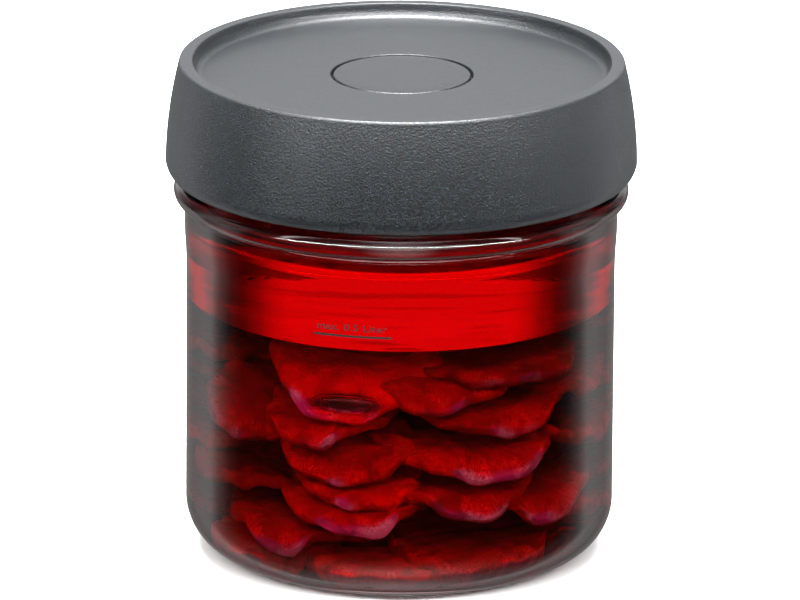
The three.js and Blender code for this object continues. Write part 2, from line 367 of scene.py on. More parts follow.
def weight_outline(sink=0.0):
    """The block's outline with rounded edges, moved into the block by the sink."""
    r, low, high = WEIGHT_RADIUS - sink, WEIGHT_BOTTOM + sink, WEIGHT_TOP - sink
    size, size_low = WEIGHT_ROUND - sink, WEIGHT_ROUND_LOW - sink
    return np.concatenate([
        [[0, low]],
        arc(r - size_low, low + size_low, size_low, size_low, -90, 0, 8),
        arc(r - size, high - size, size, size, 0, 90, 12),
        [[0, high]],
    ])


weight = new_piece("glass_weight_block", *turned_surface(weight_outline()), weight_glass)
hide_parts("glass_weight")
print("weight", round(WEIGHT_TOP - WEIGHT_BOTTOM, 1), "mm thick")

# %% [markdown]
# ## Brine
# The brine touches the glass everywhere, and an air gap there would turn the wall into a mirror. So its
# surface lies a few hundredths of a millimetre inside the glass, and the hollow that it leaves for the
# weight lies as far inside the weight. Its colour is all absorption: beet dye takes out green within a
# few millimetres, blue a little later, and leaves red alone. Air bubbles are hollows in the brine too.

# %% Brine finish
BRINE_BEND = 1.34
BRINE_SWIM_SCALE, BRINE_SWIM_DEPTH = 90, 0.01
BRINE_LEVEL = 101.0
BRINE_OVERLAP = 0.06
DYE_PER_METRE = 1800.0
DYE_PASSES = (0.992, 0.0, 0.12)


def beet_brine():
    """Clear water's shader, with the dye as absorption in the volume."""
    material, add = refracting("beet_brine", (1, 1, 1, 1), BRINE_BEND, BRINE_SWIM_SCALE, BRINE_SWIM_DEPTH)
    dye = add("ShaderNodeVolumeAbsorption", Color=(*DYE_PASSES, 1), Density=DYE_PER_METRE)
    link(material, dye.outputs[0], material.node_tree.nodes["Material Output"].inputs["Volume"])
    return material


# %% Bubbles
def grid_faces(around, count):
    """Faces of a grid that closes round and ends in two poles, numbered after all its points."""
    i, j = np.arange(around)[:, None], np.arange(count - 1)[None]
    n = (i + 1) % around
    corners = [i * count + j, n * count + j, n * count + j + 1, i * count + j + 1]
    quads = np.stack(corners, axis=-1).reshape(-1, 4)
    low, high = np.full((around, 1), around * count), np.full((around, 1), around * count + 1)
    bottom = np.concatenate([low, n * count, i * count], axis=1)
    top = np.concatenate([high, i * count + count - 1, n * count + count - 1], axis=1)
    return quads.tolist() + bottom.tolist() + top.tolist()


FRONT_BUBBLES = [
    # degrees round, height, half width, half height, half depth, distance from the axis
    (-15.3, 51.0, 9.3, 2.7, 1.6, 48.3),
    (-26.8, 49.0, 0.95, 0.95, 0.8, 49.1),
    (-26.6, 50.7, 0.4, 0.4, 0.4, 49.5),
]


def bubble(turn, z, half_width, half_height, half_depth, r, around=36, rows=14):
    """An ellipsoid lying along the glass: its width is carried round the axis at its distance r."""
    tilt = np.radians(np.linspace(-90, 90, rows + 1))[None, 1:-1]
    turn_about = np.linspace(0, 2 * np.pi, around, endpoint=False)[:, None]
    width = half_width * np.cos(tilt) * np.cos(turn_about)
    depth = half_depth * np.cos(tilt) * np.sin(turn_about)
    height = half_height * np.sin(tilt) + 0 * turn_about
    places = np.stack([width, depth, height], axis=-1).reshape(-1, 3)
    places = np.concatenate([places, [[0, 0, -half_height], [0, 0, half_height]]])
    angle = np.radians(turn - 90) + places[:, 0] / r
    radius = r - places[:, 1]
    points = np.stack([radius * np.cos(angle), radius * np.sin(angle), z + places[:, 2]], axis=1)
    return points, grid_faces(around, rows - 1)


# %% Brine piece
def brine_outline():
    outer = inside_line(BRINE_OVERLAP)[::-1]
    return np.concatenate([outer, filleted([
        (NECK_BORE + BRINE_OVERLAP, SHOULDER_TOP, 0),
        (NECK_BORE + BRINE_OVERLAP, BRINE_LEVEL, 0.3),
        (0, BRINE_LEVEL, 0),
    ])[1:]])


new_piece(
    "brine",
    *joined(
        turned_surface(brine_outline()),
        inside_out(turned_surface(weight_outline(BRINE_OVERLAP))),
        *[inside_out(bubble(*row)) for row in FRONT_BUBBLES],
    ),
    beet_brine(),
)
print("brine up to", BRINE_LEVEL, "mm, with", len(FRONT_BUBBLES), "bubbles")

# %% [markdown]
# ## Beet slices
# Each slice is a round of root cut not quite four millimetres thick. It leans on the slices below,
# and its front droops down to the glass, where it is pressed flat. Its outline waves, its rim is
# ruffled, and the cutter left fine marks round it. Sculpting each by hand would take hours. Here one
# formula makes them all: a disc section is carried round, ruffled, bent down over a line near its
# front, leaned back, and set against the wall.

# %% Slice dimensions
SLICE_THICKNESS = 3.6
RIM_ROUNDING = 0.9
GRAIN_SPACING, GRAIN_HEIGHT = 1.9, 0.08
CUT_MARKS, CUT_DEPTH = 64, 0.22
FACE_HOLLOW = 0.15
# waves of the outline as shares of the radius, and ruffles of the rim in millimetres:
# size, how many go round, and how far each next slice shifts them
OUTLINE_WAVES = [(0.05, 3, 1.0), (0.028, 5, 2.3), (0.018, 9, 1.0)]
RIM_RUFFLES = [(0.8, 2, 1.9), (0.7, 5, 1.0), (0.5, 11, 2.1)]
ROOM_RADIUS = 49.88
ROOM_GAP = 0.3

# degrees round from the front, height of the rim at the glass, half the width, length of the drooping
# front and its bend in degrees, lean, roll, and how far it is pressed against the wall
FRONT_SLICES = [
    (-18, 50.0, 19.0, 15, 60, 14, 4, 0.6),
    (-25, 41.5, 16.0, 9, 45, 12, -4, 0.4),
    (14, 51.3, 16.5, 11, 55, 8, 2, 0.5),
    (39, 56.0, 20.0, 9, 50, 3, 0, 0.6),
    (32, 43.0, 18.5, 10, 50, 8, 0, 0.7),
    (26, 32.5, 21.0, 12, 50, 10, 3, 0.7),
    (20, 22.5, 19.0, 10, 50, 8, 5, 0.5),
    (50, 18.0, 20.0, 9, 52, 8, -3, 0.7),
    (28, 7.5, 18.0, 9, 45, 6, 0, 0.4),
    (-18, 31.0, 15.5, 15, 50, 22, 4, 0.5),
    (-13, 26.0, 14.0, 7, 55, 10, 0, 0.9),
    (-15, 19.0, 17.0, 9, 50, 10, 0, 0.6),
    (-38, 12.0, 19.0, 9, 52, 8, 3, 0.8),
    (-54, 6.0, 16.0, 8, 40, 5, 0, 0.8),
    (-54, 38.0, 14.5, 8, 55, 20, 14, 0.7),
    (-66, 24.0, 15.0, 6, 45, 6, 0, 0.3),
    (-5, 6.5, 17.0, 8, 45, 5, 0, 0.3),
    (72, 33.0, 14.0, 8, 50, 8, 0, 0.4),
    (66, 47.0, 14.5, 8, 45, 6, 0, 0.3),
]
# how pale the flesh of each of them is
FRONT_TONES = [
    1.0, 0.5, 0.5, 0.3, 0.45, 0.5, 0.4, 0.35, 0.45, 0.42,
    0.75, 0.55, 0.35, 0.6, 0.35, 0.3, 0.8, 0.3, 0.25,
]
RING_COUNT, PER_RING = 7, 4
RING_FIRST, RING_SPACING = 9.0, 8.2
RING_FROM, RING_TO = 96.0, 264.0
RING_HALF, RING_LEAN = 16.5, 5.0
RING_DROOP, RING_BEND, RING_REACH = 9.0, 45.0, 0.4
SWING_RIM, SWING_HALF, SWING_LEAN, SWING_ROLL = 1.5, 1.5, 4.0, 5.0
GOLDEN_ANGLE = 137.5


def sway(index, rate):
    """A waving number between -1 and 1 that differs from one slice to the next."""
    return np.sin(np.asarray(index) * rate + 1.3)


def ring_slices():
    """The slices of the sides and back: rings of four, each ring turned by the golden angle."""
    i = np.arange(RING_COUNT * PER_RING)
    ring = i // PER_RING
    step = i % PER_RING + ring * GOLDEN_ANGLE / 360 % 1
    same = np.ones(len(i))
    return np.stack([
        RING_FROM + (RING_TO - RING_FROM) * step / PER_RING,
        RING_FIRST + ring * RING_SPACING + SWING_RIM * sway(i, 1.7),
        RING_HALF + SWING_HALF * sway(i, 2.9),
        RING_DROOP * same,
        RING_BEND * same,
        RING_LEAN + SWING_LEAN * sway(i, 0.9),
        SWING_ROLL * sway(i, 2.1),
        RING_REACH * same,
    ], axis=1)


# %% One slice
def slice_section(steps_face=12, steps_rim=10):
    """The section of a slice from the middle of its underside round the rim to the middle of its top:
    share of the radius, level as a share of half the thickness, and how far it bulges at the rim."""
    face = np.linspace(0, 1, steps_face + 1)[1:] ** 0.75
    turn = np.radians(np.linspace(-90, 90, steps_rim + 1))[1:-1]
    share = np.concatenate([face, 1 + 0 * turn, face[::-1]])
    level = np.concatenate([-1 + 0 * face, np.sin(turn), 1 + 0 * face])
    outward = np.concatenate([0 * face, np.cos(turn), 0 * face])
    return share, level, outward


def waves_round(turn, index, rows):
    """The sum of size x sin(count x turn + shift x index) over the rows."""
    return sum(size * np.sin(count * turn + shift * index) for size, count, shift in rows)


def flat_slice(half, index, around):
    """Radius = half width x (1 + slow waves) less the cutter's marks at the rim.
    Height = level x half thickness + ruffles that grow towards the rim + rings of grain."""
    share, level, outward = (part[None] for part in slice_section())
    turn = np.linspace(0, 2 * np.pi, around, endpoint=False)[:, None]
    waves = waves_round(turn, index, OUTLINE_WAVES)
    near_rim = share**6
    marks = np.abs(np.sin(CUT_MARKS / 2 * turn + index)) * (0.6 + 0.4 * np.sin(7 * turn + 1.7 * index))
    body = share * (half * (1 + waves) - RIM_ROUNDING) + RIM_ROUNDING * outward
    radius = body - CUT_DEPTH * near_rim * marks
    rings = np.sin(2 * np.pi * radius / GRAIN_SPACING + 0.8 * np.sin(2 * turn))
    grain = GRAIN_HEIGHT * rings * (1 - near_rim) * np.sign(level)
    ruffle = waves_round(turn, index, RIM_RUFFLES)
    height = level * SLICE_THICKNESS / 2 * (1 - FACE_HOLLOW * share**2) + ruffle * share**4 + grain
    points = np.stack([radius * np.cos(turn), radius * np.sin(turn), height], axis=-1)
    return points, np.broadcast_to(share, radius.shape)


def drooped(points, half, droop, bend):
    """Bends the front down: past the line at (half - droop) the length s along the slice becomes an arc
    of radius droop / bend, and a point's own height is measured square to that arc."""
    radius = droop / np.radians(bend)
    start = half - droop
    angle = np.maximum(-points[:, 1] - start, 0) / radius
    bent = points.copy()
    bent[:, 1] = np.where(angle > 0, -start - (radius + points[:, 2]) * np.sin(angle), points[:, 1])
    bent[:, 2] = np.where(angle > 0, (radius + points[:, 2]) * np.cos(angle) - radius, points[:, 2])
    return bent


def turn_about(points, axis, degrees):
    """Turns points about X, Y or Z, anticlockwise looking against the axis."""
    return points @ np.array(Matrix.Rotation(np.radians(degrees), 3, axis)).T


def pressed(points):
    """Keeps points in the jar's room: inside its wall, whose radius shrinks along an ellipse in the
    rounded corner, above the base and under the weight."""
    corner_top = BASE_THICKNESS + CORNER_DEPTH
    down = np.clip((corner_top - points[:, 2]) / (CORNER_DEPTH - ROOM_GAP), 0, 0.999)
    room = ROOM_RADIUS - CORNER_WIDTH * (1 - np.sqrt(1 - down**2))
    radius = np.hypot(points[:, 0], points[:, 1])
    points[:, :2] *= np.minimum(1, room / np.maximum(radius, 1e-6))[:, None]
    points[:, 2] = np.clip(points[:, 2], BASE_THICKNESS + ROOM_GAP, WEIGHT_BOTTOM - ROOM_GAP)
    return points


def laid_slice(turn, rim, half, droop, bend, lean, roll, reach, index, around):
    """One slice in its place: points, faces, its own flat coordinates and how near the rim each is."""
    grid, share = flat_slice(half, index, around)
    tips = [[0, 0, side * SLICE_THICKNESS / 2] for side in (-1, 1)]
    flat = np.concatenate([grid.reshape(-1, 3), tips])
    points = turn_about(turn_about(drooped(flat, half, droop, bend), "Y", roll), "X", lean)
    foremost = points[np.argmin(points[:, 1])]
    points = points + [0, -(ROOM_RADIUS + reach) - foremost[1], rim - foremost[2]]
    flat[:, 2] += index * 10
    nearness = np.concatenate([share.reshape(-1), [0, 0]])
    return pressed(turn_about(points, "Z", turn)), grid_faces(around, grid.shape[1]), flat, nearness


# %% [markdown]
# ## Beet flesh
# Cut beet is deep red. Along random stretches of its rim pink fibre strokes are painted in: partly the
# fibres' own paler colour, partly painted highlight. An image of a slice would repeat. Here noise and a
# few attributes of the mesh make the pattern: the slice's own flat coordinates, so that it follows each
# slice and not the jar, how near the rim a point is, and a tone. The tone differs from slice to slice,
# and carries painted shade as well: it falls behind the long bubble and close under the weight, where
# hardly any light gets in.

# %% Flesh finish
FLESH = (0.80, 0.018, 0.20, 1)
# the dark end of the tone: darker flesh, and painted shade behind the bubble and under the weight
FLESH_DARK = (0.05, 0.0005, 0.003, 1)
# pink of the fibre strokes at the rim: partly the fibres' own colour, partly painted highlight
FIBRE_PINK_HIGHLIGHT = (0.96, 0.36, 0.42, 1)
FLESH_BEND = 1.36
# cells of the noises per millimetre: patches of tone, fine grain, and stretches of the rim with pink fibre
# strokes and painted highlight
BLOTCH_SCALE, GRAIN_SCALE, STRETCH_SCALE = 0.16, 1.6, 0.11
FIBRE_SCALE = 22.0
RIM_FROM, RIM_TO = 0.62, 0.92
DENT_SHARE, FLESH_RELIEF = 5.0, 0.4


def beet_flesh():
    """Dark to red by the tone, which carries painted shade, and pink fibre strokes, partly painted
    highlight, along random stretches of the rim.
    """
    material, shader, add = new_material("beet_flesh")
    place = add("ShaderNodeAttribute", {"attribute_name": "flat_place"}).outputs["Vector"]
    share = add("ShaderNodeAttribute", {"attribute_name": "rim"}).outputs["Fac"]
    tone = add("ShaderNodeAttribute", {"attribute_name": "tone"}).outputs["Fac"]
    x, y, z = add("ShaderNodeSeparateXYZ", Vector=place).outputs
    fibre_place = add("ShaderNodeCombineXYZ", X=maths(add, "ARCTAN2", y, x), Y=z).outputs[0]
    blotch = noise(add, place, BLOTCH_SCALE, 4.0)
    grain = noise(add, place, GRAIN_SCALE, 5.0, 0.65)
    stretch = noise(add, place, STRETCH_SCALE, 2.0)
    fibre = noise(add, fibre_place, FIBRE_SCALE, 3.0, 0.7)

    uneven = ramped(add, blotch, 0.3, 0.7, 0.55, 1.35)
    clamped = {"operation": "MULTIPLY", "use_clamp": True}
    depth = add("ShaderNodeMath", clamped, _0=tone, _1=uneven).outputs[0]
    body = mixed(add, depth, FLESH_DARK, FLESH)
    near = ramped(add, share, RIM_FROM, RIM_TO, kind="SMOOTHSTEP")
    fibrous = ramped(add, fibre, 0.38, 0.70)
    # random stretches of the rim where the pink fibre strokes and their painted highlight show
    fibre_highlight_stretch = ramped(add, stretch, 0.44, 0.56, kind="SMOOTHSTEP")
    # the pink strokes fade where the tone is low, in darker slices and in the painted shade
    shown = ramped(add, tone, 0.0, 0.5)
    strokes = maths(add, "MULTIPLY", maths(add, "MULTIPLY", near, fibrous), fibre_highlight_stretch)
    pale = maths(add, "MULTIPLY", strokes, shown)
    link(material, mixed(add, pale, body, FIBRE_PINK_HIGHLIGHT), shader.inputs["Base Color"])
    shader.inputs["Roughness"].default_value = 0.45
    shader.inputs["IOR"].default_value = FLESH_BEND
    shader.inputs["Specular IOR Level"].default_value = 0.3
    height = maths(add, "MULTIPLY_ADD", blotch, DENT_SHARE, maths(add, "ADD", fibre, grain))
    bumped(material, shader, add, height, 0.9, FLESH_RELIEF)
    return material


flesh = beet_flesh()


# painted shade behind the long bubble and close under the weight
BUBBLE_SHADE, BUBBLE_EDGE = 0.85, 0.25
SHADE_FROM, SHADE_DEPTH, SHADE_LEAST = 2.5, 4.5, 0.06


def shade_behind_bubble(points):
    """Painted shade: 0 where flesh lies behind the long bubble, 1 elsewhere, by the distance from its
    middle, which is hypot(along / half width, up / half height)."""
    turn, z, half_width, half_height, _, r = FRONT_BUBBLES[0]
    along = (np.arctan2(points[:, 0], -points[:, 1]) - np.radians(turn)) * r / half_width
    away = np.hypot(along, (points[:, 2] - z) / half_height)
    return np.clip((away - BUBBLE_SHADE) / BUBBLE_EDGE, 0, 1)


def shade_under_weight(points):
    """Painted shade: falls from 1 to almost 0 over the last millimetres below the weight, where no light
    gets in.
    """
    return np.clip((WEIGHT_BOTTOM - SHADE_FROM - points[:, 2]) / SHADE_DEPTH, SHADE_LEAST, 1)


def give_attributes(piece, flat, near, tone):
    """Stores each point's flat coordinates, nearness to the rim and tone, with the tone's painted shade.
    """
    for name, kind, field, values in (
        ("flat_place", "FLOAT_VECTOR", "vector", flat),
        ("rim", "FLOAT", "value", near),
        ("tone", "FLOAT", "value", tone),
    ):
        attribute = piece.data.attributes.new(name, kind, "POINT")
        attribute.data.foreach_set(field, values.astype(np.float32).ravel())


def heap_piece(name, rows, tones, first_index, around):
    """Lays the slices of the rows and joins them into one piece with its three attributes."""
    laid = [laid_slice(*row, first_index + i, around) for i, row in enumerate(rows)]
    points, faces = joined(*[(points, faces) for points, faces, _, _ in laid])
    piece = new_piece(name, points, faces, flesh)
    # each point's tone is its slice's tone times the painted shade behind the bubble and under the weight
    give_attributes(
        piece,
        np.concatenate([flat for _, _, flat, _ in laid]),
        np.concatenate([near for _, _, _, near in laid]),
        np.concatenate([
            tone * shade_behind_bubble(points) * shade_under_weight(points)
            for tone, (points, _, _, _) in zip(tones, laid)
        ]),
    )
    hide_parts("beet_slices")
    print(name, len(rows), "slices,", len(faces), "faces")


heap_piece("beet_slices_front", FRONT_SLICES, FRONT_TONES, 0, 150)
ring_rows = ring_slices()
ring_tones = 0.45 + 0.15 * sway(np.arange(len(ring_rows)), 2.4)
heap_piece("beet_slices_back", ring_rows, ring_tones, len(FRONT_SLICES), 72)

# %% [markdown]
# ## The middle of the heap
# Between the slices at the glass more slices lie, of which only dark edges show. One ridged core
# stands for them: a turned outline whose radius waves with height like a stack of rims, and slowly
# round the jar, so that no two gaps look alike.

# %% Core piece
CORE_RADIUS, CORE_BOTTOM = 30.0, 5.0
CORE_TOP = WEIGHT_BOTTOM - 0.4
STACK_SPACING = 5.2
CORE_RIM, CORE_TONE = 0.2, 0.25


def core_wobble(r, z, turn):
    """Rims: a wave of the height, tilted and shifted slowly round the jar, and two slow swells."""
    rims = 1.6 * np.sin(2 * np.pi * (z + 2.2 * np.sin(turn) + 1.4 * np.sin(3 * turn + 1)) / STACK_SPACING)
    swell = 1.5 * np.sin(2 * turn + z / 9) + 1.2 * np.sin(5 * turn - z / 6)
    return r + (rims + swell) * np.clip((r - 20) / 10, 0, 1), z


core_heights = np.linspace(CORE_BOTTOM + 3, CORE_TOP - 6, 110)
core_outline = np.concatenate([
    [[0, CORE_BOTTOM], [CORE_RADIUS - 3, CORE_BOTTOM]],
    np.stack([np.full_like(core_heights, CORE_RADIUS), core_heights], axis=1),
    [[CORE_RADIUS - 5, CORE_TOP], [0, CORE_TOP]],
])
core_points, core_faces = turned_surface(core_outline, 160, core_wobble)
core = new_piece("beet_core", core_points, core_faces, flesh)
same = np.ones(len(core_points))
give_attributes(core, core_points, CORE_RIM * same, CORE_TONE * same)
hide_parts("beet_slices")
print("core", len(core_faces), "faces")

# %% [markdown]
# ## Lid plastic
# The lid is moulded in dark grey plastic with fine metal flake. Up close it sparkles: each flake is a
# small mirror at its own angle. Cells a third of a millimetre across, each with its own random tone,
# give that grain, and a fine bump breaks the gloss as the mould's texture does.

# %% Plastic finish
PLASTIC = (0.0008, 0.0013, 0.0020, 1)
PLASTIC_LIGHT = (0.017, 0.026, 0.035, 1)
FLAKES_PER_METRE, FLAKE_FROM, FLAKE_METAL = 3400, 0.45, 0.5
TEXTURE_PER_METRE, TEXTURE_DEPTH = 2200, 0.17
LID_ROUGHNESS, VENT_ROUGHNESS = 0.41, 0.34


def flaked_plastic(name, roughness):
    """Dark plastic in which some of the cells are paler and partly metallic."""
    material, shader, add = new_material(name)
    cells = add("ShaderNodeTexVoronoi", Vector=object_place(add, FLAKES_PER_METRE), Scale=1.0)
    tone = add("ShaderNodeSeparateColor", Color=cells.outputs["Color"]).outputs[0]
    flake = ramped(add, tone, FLAKE_FROM, 1.0)
    link(material, mixed(add, flake, PLASTIC, PLASTIC_LIGHT), shader.inputs["Base Color"])
    link(material, maths(add, "MULTIPLY", flake, FLAKE_METAL), shader.inputs["Metallic"])
    shader.inputs["Roughness"].default_value = roughness
    shader.inputs["Specular IOR Level"].default_value = 0.8
    shader.inputs["Coat Weight"].default_value = 0.2
    shader.inputs["Coat Roughness"].default_value = 0.22
    grain = noise(add, object_place(add, TEXTURE_PER_METRE), 1.0, 2.0)
    bumped(material, shader, add, maths(add, "ADD", grain, tone), 0.9, TEXTURE_DEPTH)
    return material


lid_plastic = flaked_plastic("lid_plastic", LID_ROUGHNESS)
vent_plastic = flaked_plastic("vent_plastic", VENT_ROUGHNESS)

# %% [markdown]
# ## The lid and its vent disc
# The lid has a barrel-shaped skirt, a narrow flat rim, a cove that runs down into a wide recess, and a
# round pocket in the middle for the vent disc, which sits level with the recess in a thin dark gap.

# %% Lid pieces
lid_low, lid_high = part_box("lid")
LID_BOTTOM, LID_TOP, LID_RADIUS = lid_low.z / MM, lid_high.z / MM, lid_high.x / MM
WIDEST_Z, TOP_RADIUS, LOWER_EDGE, BULGE = 99.4, 55.05, 57.2, 0.7
RECESS_Z, UNDERSIDE_Z = 121.2, 118.1
RIM_INNER, TOP_ROUND = 51.4, 0.9
COVE_WIDTH, COVE_DEPTH = 2.4, 2.6
POCKET_RADIUS, POCKET_Z = 17.6, 119.4


def lid_outline():
    """Underside, inside of the skirt, its barrel, the rim, the cove, the recess and the pocket."""
    top = LID_TOP - TOP_ROUND
    t = np.linspace(0, 1, 25)
    barrel = np.stack([
        LID_RADIUS + (TOP_RADIUS - LID_RADIUS) * t + BULGE * 4 * t * (1 - t),
        WIDEST_Z + (top - WIDEST_Z) * t,
    ], axis=1)
    return np.concatenate([
        filleted([
            (0, UNDERSIDE_Z, 0),
            (52.6, UNDERSIDE_Z, 0.5),
            (53.8, UNDERSIDE_Z - 1.2, 0.5),
            (54.4, LID_BOTTOM, 0.3),
            (LOWER_EDGE - 0.5, LID_BOTTOM, 0.3),
            (LOWER_EDGE, LID_BOTTOM + 0.5, 0.25),
            (LID_RADIUS - 0.35, WIDEST_Z - 1.2, 0.5),
            (*barrel[0], 0),
        ]),
        barrel[1:],
        arc(TOP_RADIUS - TOP_ROUND, top, TOP_ROUND, TOP_ROUND, 20, 90, 8),
        filleted([
            (RIM_INNER + 1.5, LID_TOP, 0),
            (RIM_INNER + 0.2, LID_TOP, 0.35),
            (RIM_INNER, RECESS_Z + COVE_DEPTH, 0),
        ]),
        arc(RIM_INNER - COVE_WIDTH, RECESS_Z + COVE_DEPTH, COVE_WIDTH, COVE_DEPTH, 0, -90, 10)[1:],
        filleted([
            (RIM_INNER - 5, RECESS_Z, 0),
            (POCKET_RADIUS, RECESS_Z, 0.3),
            (POCKET_RADIUS - 0.02, POCKET_Z, 0.1),
            (0, POCKET_Z, 0),
        ]),
    ])


lid = new_piece("lid_shell", *turned_surface(lid_outline()), lid_plastic)
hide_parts("lid")

disc_low, disc_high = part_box("vent_disc")
DISC_RADIUS = disc_high.x / MM
disc = new_piece(
    "vent_button",
    *turned_surface(filleted([
        (0, disc_low.z / MM, 0),
        (DISC_RADIUS, disc_low.z / MM, 0.2),
        (DISC_RADIUS, RECESS_Z - 0.1, 0.4),
        (DISC_RADIUS - 3, RECESS_Z + 0.05, 1.5),
        (0, disc_high.z / MM, 0),
    ])),
    vent_plastic,
)
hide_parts("vent_disc")
print("lid", len(lid.data.polygons), "faces, disc", len(disc.data.polygons))

# %% [markdown]
# ## The fill mark
# A thin printed line round part of the front marks half a litre, with its value above it. Print on
# glass is a skin of ink, so line and letters are made flat, given a few hundredths of a millimetre of
# thickness, and then rolled on to the glass: a distance along the line becomes an angle round the jar.

# %% Ink and print
MARK_Z = 69.5
MARK_FROM, MARK_TO = -23.4, -2.1
LINE_WIDTH = 0.5
LETTER_WEIGHT = 0.01
INK_THICKNESS = 0.04
LETTERS, LETTER_SIZE = "max. 0.5 Liter", 2.4
LETTERS_Z, LETTERS_FROM, LETTERS_TO = 70.9, -22.4, -3.4
INK, INK_LIGHT = (0.006, 0.002, 0.003, 1), (0.014, 0.006, 0.008, 1)


def print_ink():
    material, shader, add = new_material("print_ink")
    speck = noise(add, object_place(add, 4000), 1.0, 2.0)
    link(material, mixed(add, speck, INK, INK_LIGHT), shader.inputs["Base Color"])
    shader.inputs["Roughness"].default_value = 0.5
    return material


def rolled(flat):
    """Flat points (along, up, out) in millimetres on to the glass: the angle is along / radius."""
    radius = JAR_RADIUS + flat[:, 2]
    angle = flat[:, 0] / JAR_RADIUS - np.pi / 2
    return np.stack([radius * np.cos(angle), radius * np.sin(angle), flat[:, 1]], axis=1)


def flat_letters(text, size):
    """The letters as flat outlines filled and given the ink's thickness: points and faces."""
    curve = bpy.data.curves.new("fill_letters", "FONT")
    curve.body, curve.size, curve.resolution_u = text, size, 3
    curve.extrude, curve.offset = INK_THICKNESS / 2, LETTER_WEIGHT
    source = bpy.data.objects.new("fill_letters", curve)
    bpy.context.scene.collection.objects.link(source)
    mesh = bpy.data.meshes.new_from_object(source.evaluated_get(bpy.context.evaluated_depsgraph_get()))
    bpy.data.objects.remove(source)
    points = np.array([v.co for v in mesh.vertices])
    faces = [list(p.vertices) for p in mesh.polygons]
    return points, faces


def ink_line(steps=48):
    """A bar along the glass: a square section carried along, closed at both ends."""
    along = np.radians(np.linspace(MARK_FROM, MARK_TO, steps + 1)) * JAR_RADIUS
    corners = np.array([(-1, -0.25), (1, -0.25), (1, 0.75), (-1, 0.75)]) * (LINE_WIDTH / 2, INK_THICKNESS)
    up, out = MARK_Z + corners[None, :, 0], corners[None, :, 1]
    grid = np.stack(np.broadcast_arrays(along[:, None], up, out), axis=-1)
    i, j = np.arange(steps)[:, None] * 4, np.arange(4)[None]
    following = (j + 1) % 4
    sides = np.stack([i + j, i + 4 + j, i + 4 + following, i + following], axis=-1).reshape(-1, 4)
    ends = [[0, 1, 2, 3], [steps * 4 + k for k in (3, 2, 1, 0)]]
    return grid.reshape(-1, 3), sides.tolist() + ends


ink = print_ink()
letters, letter_faces = flat_letters(LETTERS, LETTER_SIZE)
span = np.radians(LETTERS_TO - LETTERS_FROM) * JAR_RADIUS
share = (letters[:, 0] - letters[:, 0].min()) / np.ptp(letters[:, 0])
letters[:, 0] = np.radians(LETTERS_FROM) * JAR_RADIUS + share * span
letters[:, 1] += LETTERS_Z
letters[:, 2] += INK_THICKNESS / 4
line, line_faces = ink_line()
mark_points, mark_faces = joined((rolled(letters), letter_faces), (rolled(line), line_faces))
mark = new_piece("fill_mark", mark_points, mark_faces, ink)
mark.data.shade_flat()
print("fill mark", len(mark_faces), "faces")

# %% [markdown]
# ## Table and light
# The jar stands on a pale table in front of a white backdrop. Glass shows its room more than itself, and
# here the room is a level of light for each direction: lamps with edges would need a whole studio, and
# these levels say the same in a few lines. White cards at both sides of the backdrop give the pale
# streaks down the glass, the dark room in front keeps the brine deep, and the lid shows the lamp above
# it. The table stays out of the reflections, because its mirror image would fill the glass with white.

# %% Table
TABLE_REACH, TABLE_BOTTOM, TABLE_TOP = 1.6, -0.02, -0.0001
TABLE_GREY, TABLE_WHITE = (0.86, 0.86, 0.86, 1), (0.90, 0.90, 0.90, 1)


def pale_table():
    material, shader, add = new_material("pale_table")
    mottle = noise(add, object_place(add, 30), 1.0, 3.0)
    link(material, mixed(add, mottle, TABLE_GREY, TABLE_WHITE), shader.inputs["Base Color"])
    shader.inputs["Roughness"].default_value = 0.6
    return material


def table_top():
    """A flat board with its top just under the jar's foot. It isn't mirrored in glass or lid."""
    x = y = TABLE_REACH
    corners = [(-x, -y), (x, -y), (x, y), (-x, y)]
    points = [(a, b, z) for z in (TABLE_BOTTOM, TABLE_TOP) for a, b in corners]
    faces = [(3, 2, 1, 0), (4, 5, 6, 7), (0, 1, 5, 4), (1, 2, 6, 5), (2, 3, 7, 6), (3, 0, 4, 7)]
    mesh = bpy.data.meshes.new("table_top")
    mesh.from_pydata(points, [], faces)
    mesh.materials.append(pale_table())
    board = bpy.data.objects.new("table_top", mesh)
    bpy.context.scene.collection.objects.link(board)
    board.visible_glossy = board.visible_transmission = False


table_top()

# %% Room and lamps
SEEN_WHITE = 1.0
# level of light by how far behind the jar a direction points: -1 in front, 0 sideways, 1 behind;
# first for directions that fall away from the jar, then for those that rise from it
LOW_ROOM = [
    (-1.0, 0.008), (0.1, 0.01), (0.26, 0.07), (0.42, 0.35), (0.55, 0.9), (0.66, 0.75), (0.86, 0.33),
    (1.0, 0.27),
]
HIGH_ROOM = [
    (-1.0, 0.04), (0.05, 0.06), (0.18, 0.45), (0.32, 0.8), (0.44, 0.7), (0.53, 0.3), (0.61, 0.08),
    (0.7, 0.05), (0.79, 0.12), (0.845, 0.34), (0.885, 0.75), (0.92, 1.0), (1.0, 1.0),
]
HORIZON_FROM, HORIZON_TO = -0.14, 0.04
RIGHT_SHIFT, RIGHT_TO = 0.03, 0.3
# how much of the low room's sides is lost to light that has passed the jar
PASSED_FROM, PASSED_TO, PASSED_LOSS = 0.95, 0.8, 0.85
# level of light by height of the direction, for directions that point almost straight down
FLOOR_ROOM = [
    (-1.0, 1.0), (-0.985, 0.7), (-0.95, 0.3), (-0.87, 0.08), (-0.7, 0.01), (-0.5, 0.0), (1.0, 0.0),
]
CEILING_DARK, CEILING_LIT = 0.92, 0.70
OVERHEAD_FROM, OVERHEAD_TO, OVERHEAD_LIGHT = 0.90, 0.97, 38.0
LAMP_ELEVATION, LAMP_EDGE, LAMP_INSIDE, LAMP_LIGHT = np.radians(46), 0.82, 0.94, 2.6
TUBE_HALF_WIDTH, TUBE_LIGHT = 0.06, 62.0
TUBE_END, TUBE_INSIDE = 0.45, 0.65


